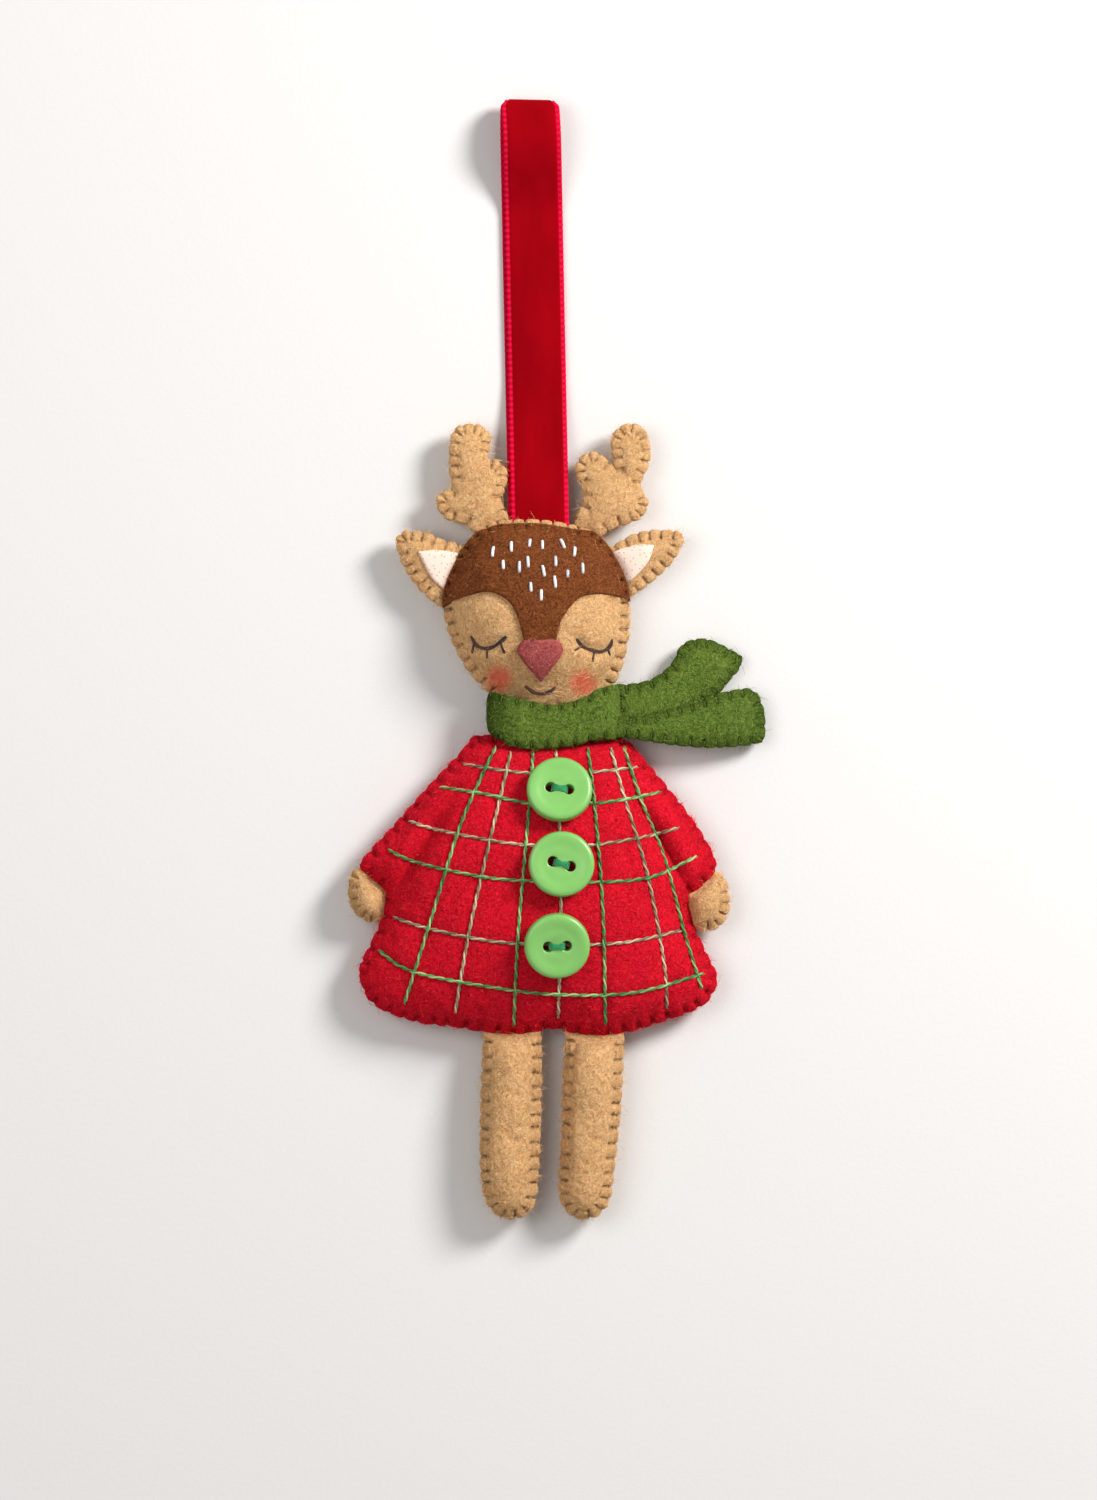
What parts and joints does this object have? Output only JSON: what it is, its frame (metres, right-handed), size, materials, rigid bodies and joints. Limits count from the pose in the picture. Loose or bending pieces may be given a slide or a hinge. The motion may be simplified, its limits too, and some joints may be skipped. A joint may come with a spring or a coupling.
{
  "type": "felt christmas ornament",
  "caption": "Stuffed felt reindeer doll with antlers, plaid-stitched coat, round buttons, scarf and velvet hanging loop.",
  "frame": {"origin": "centre of the flat of the coat's back, on the surface that the doll lies on", "axes": "+Z out of the doll's front, +Y from the feet to the hanging ribbon, +X to the viewer's right"},
  "size_m": [0.0722, 0.1953, 0.0185],
  "materials": {
    "red_felt": "wool felt, matt and slightly fuzzy",
    "tan_felt": "wool felt, matt and slightly fuzzy",
    "brown_felt": "wool felt, matt",
    "nose_felt": "wool felt, matt",
    "pale_felt": "cotton with small dots, matt",
    "green_felt": "wool felt, matt",
    "stuffing": "polyester filling",
    "green_plastic": "pale green, smooth and glossy",
    "green_thread": "stranded cotton",
    "beige_thread": "stranded cotton",
    "dark_thread": "stranded cotton",
    "red_velvet": "velvet pile with woven edges"
  },
  "bodies": {
    "root": {"coat_front_felt": "red_felt", "coat_back_felt": "red_felt", "coat_stuffing": "stuffing", "head_front_felt": "tan_felt", "head_back_felt": "tan_felt", "head_stuffing": "stuffing", "ribbon_ends": "red_velvet", "forehead_patch": "brown_felt", "nose_patch": "nose_felt", "left_eye_stitches": "dark_thread", "right_eye_stitches": "dark_thread", "mouth_stitches": "dark_thread", "plaid_beige_thread": "beige_thread", "plaid_green_thread": "green_thread", "scarf_neck_band": "green_felt", "left_ear_front_felt": "tan_felt", "left_ear_back_felt": "tan_felt", "left_inner_ear": "pale_felt", "left_antler_front_felt": "tan_felt", "left_antler_back_felt": "tan_felt", "left_hand_front_felt": "tan_felt", "left_hand_back_felt": "tan_felt", "left_hand_stuffing": "stuffing", "left_leg_tab": "tan_felt", "right_ear_front_felt": "tan_felt", "right_ear_back_felt": "tan_felt", "right_inner_ear": "pale_felt", "right_antler_front_felt": "tan_felt", "right_antler_back_felt": "tan_felt", "right_hand_front_felt": "tan_felt", "right_hand_back_felt": "tan_felt", "right_hand_stuffing": "stuffing", "right_leg_tab": "tan_felt", "top_button": "green_plastic", "top_button_thread": "green_thread", "middle_button": "green_plastic", "middle_button_thread": "green_thread", "bottom_button": "green_plastic", "bottom_button_thread": "green_thread"},
    "left_leg": {"left_leg_front_felt": "tan_felt", "left_leg_back_felt": "tan_felt", "left_leg_stuffing": "stuffing"},
    "right_leg": {"right_leg_front_felt": "tan_felt", "right_leg_back_felt": "tan_felt", "right_leg_stuffing": "stuffing"},
    "ribbon": {"hanging_ribbon": "red_velvet"},
    "scarf_tails": {"scarf_upper_tail": "green_felt", "scarf_lower_tail": "green_felt"}
  },
  "joints": [
    {"name": "ribbon_swing", "type": "hinge", "parent": "root", "child": "ribbon", "pos_m": [-0.0019, 0.06571, 0.0042], "axis": [1, 0, 0], "range_deg": [-90, 90]},
    {"name": "left_leg_swing", "type": "hinge", "parent": "root", "child": "left_leg", "pos_m": [-0.0068, -0.02736, 0.0042], "axis": [1, 0, 0], "range_deg": [-60, 60]},
    {"name": "right_leg_swing", "type": "hinge", "parent": "root", "child": "right_leg", "pos_m": [0.0075, -0.02736, 0.0042], "axis": [1, 0, 0], "range_deg": [-60, 60]},
    {"name": "scarf_tails_lift", "type": "hinge", "parent": "root", "child": "scarf_tails", "pos_m": [0.01397, 0.0315, 0.0058], "axis": [0, -1, 0], "range_deg": [-30, 60]}
  ]
}
